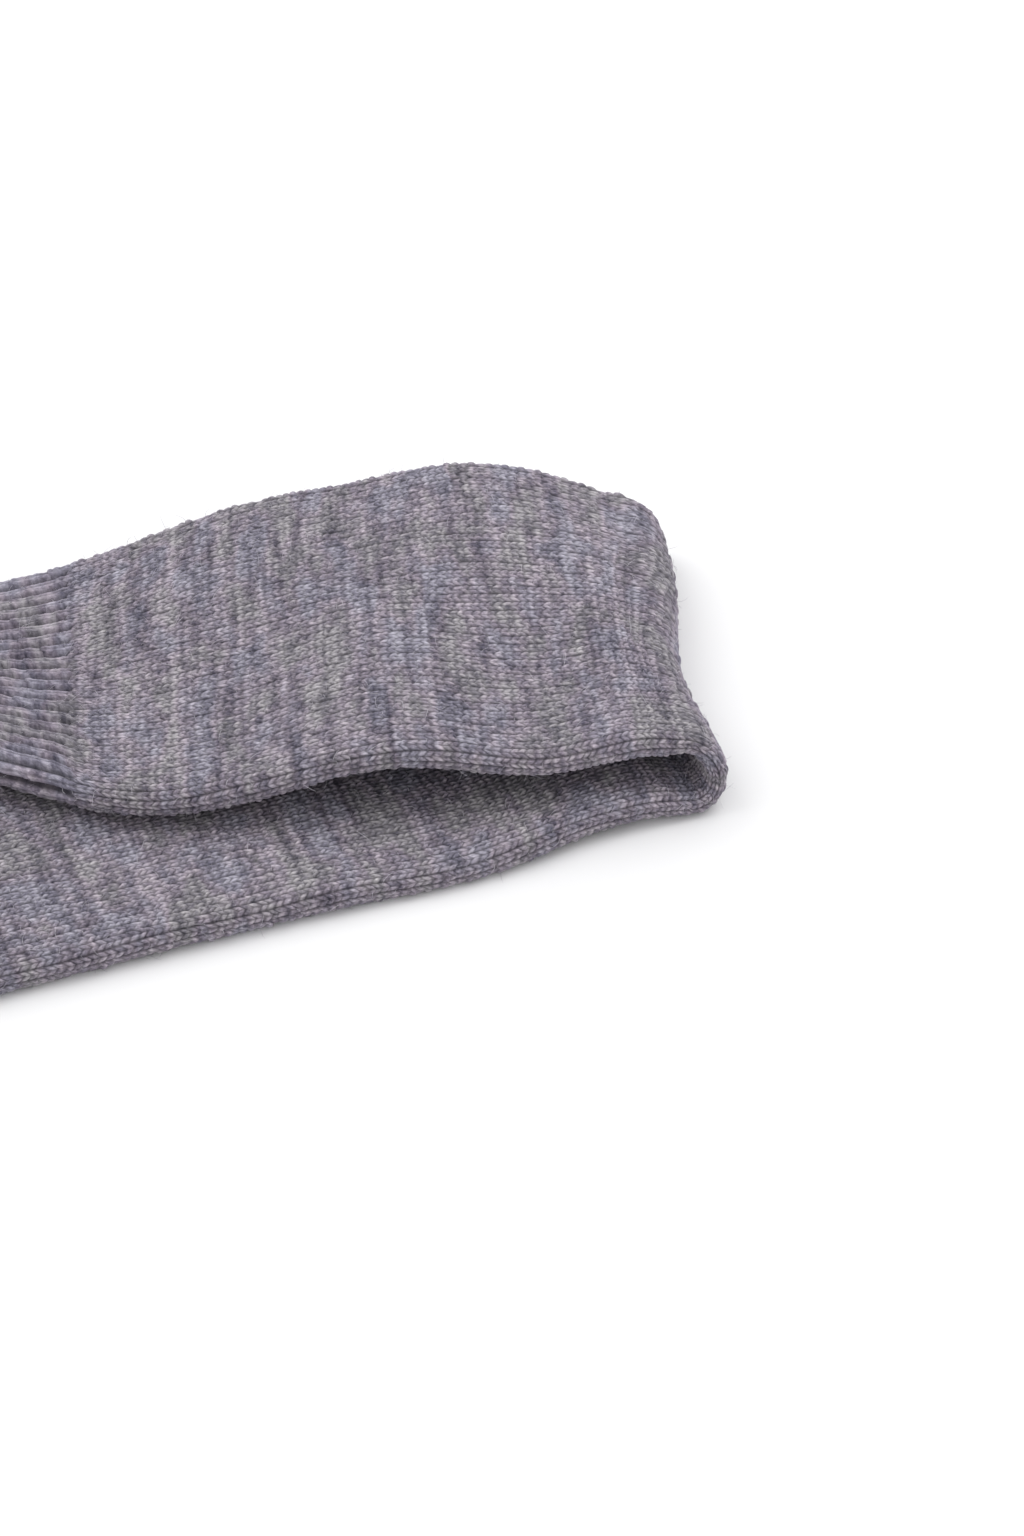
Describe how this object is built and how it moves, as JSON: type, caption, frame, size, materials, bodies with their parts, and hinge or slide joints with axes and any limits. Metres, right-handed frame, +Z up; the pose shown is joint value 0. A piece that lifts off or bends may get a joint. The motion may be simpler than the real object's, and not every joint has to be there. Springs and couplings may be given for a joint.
{
  "type": "knitted glove",
  "caption": "Long knitted glove with a ribbed cuff, its arm tube folded once over itself and its hand lying palm up; arm, wrist, fingers and thumb bend.",
  "frame": {"origin": "under the middle of the lower stretch of the arm, on the surface that the glove lies on", "axes": "+X along the lower stretch towards the fold, +Y to the thumb side, +Z up, palm up"},
  "size_m": [0.3821, 0.1447, 0.02],
  "materials": {
    "jersey_knit": "matte",
    "rib_knit": "matte",
    "elastic_yarn": "matte"
  },
  "bodies": {
    "lower_arm": {"arm_lower": "jersey_knit", "wrist_section": "jersey_knit"},
    "fold": {"arm_fold": "jersey_knit"},
    "upper_arm": {"arm_upper": "jersey_knit", "arm_taper": "jersey_knit", "cuff_rib": "rib_knit", "cuff_elastic": "elastic_yarn"},
    "hand": {"hand": "jersey_knit", "thumb_gusset": "jersey_knit"},
    "thumb": {"thumb": "jersey_knit"},
    "index_finger": {"index_finger": "jersey_knit"},
    "middle_finger": {"middle_finger": "jersey_knit"},
    "ring_finger": {"ring_finger": "jersey_knit"},
    "little_finger": {"little_finger": "jersey_knit"}
  },
  "joints": [
    {"name": "fold_lower", "type": "hinge", "parent": "lower_arm", "child": "fold", "pos_m": [0.08298, -0.00066, 0.00477], "axis": [0.1305, 0.9914, 0], "range_deg": [0, 90], "deforming": ["arm_fold"]},
    {"name": "fold_upper", "type": "hinge", "parent": "fold", "child": "upper_arm", "pos_m": [0.08298, -0.00066, 0.01483], "axis": [0.1305, 0.9914, 0], "range_deg": [0, 90], "deforming": ["arm_fold"]},
    {"name": "wrist_bend", "type": "hinge", "parent": "lower_arm", "child": "hand", "pos_m": [-0.10815, 0, 0.0068], "axis": [0, 1, 0], "range_deg": [0, 80]},
    {"name": "thumb_bend", "type": "hinge", "parent": "hand", "child": "thumb", "pos_m": [-0.16737, 0.05442, 0.0068], "axis": [0.5878, 0.809, 0], "range_deg": [0, 60]},
    {"name": "index_bend", "type": "hinge", "parent": "hand", "child": "index_finger", "pos_m": [-0.2096, 0.03298, 0.0068], "axis": [0.1045, 0.9945, 0], "range_deg": [0, 85]},
    {"name": "middle_bend", "type": "hinge", "parent": "hand", "child": "middle_finger", "pos_m": [-0.20874, 0.01, 0.0068], "axis": [0.0262, 0.9997, 0], "range_deg": [0, 85]},
    {"name": "ring_bend", "type": "hinge", "parent": "hand", "child": "ring_finger", "pos_m": [-0.20903, -0.01299, 0.0068], "axis": [-0.0523, 0.9986, 0], "range_deg": [0, 85]},
    {"name": "little_bend", "type": "hinge", "parent": "hand", "child": "little_finger", "pos_m": [-0.20977, -0.03448, 0.0068], "axis": [-0.1392, 0.9903, 0], "range_deg": [0, 85]}
  ],
  "couplings": [
    {"joint": "fold_upper", "follows": "fold_lower", "ratio": 1}
  ]
}
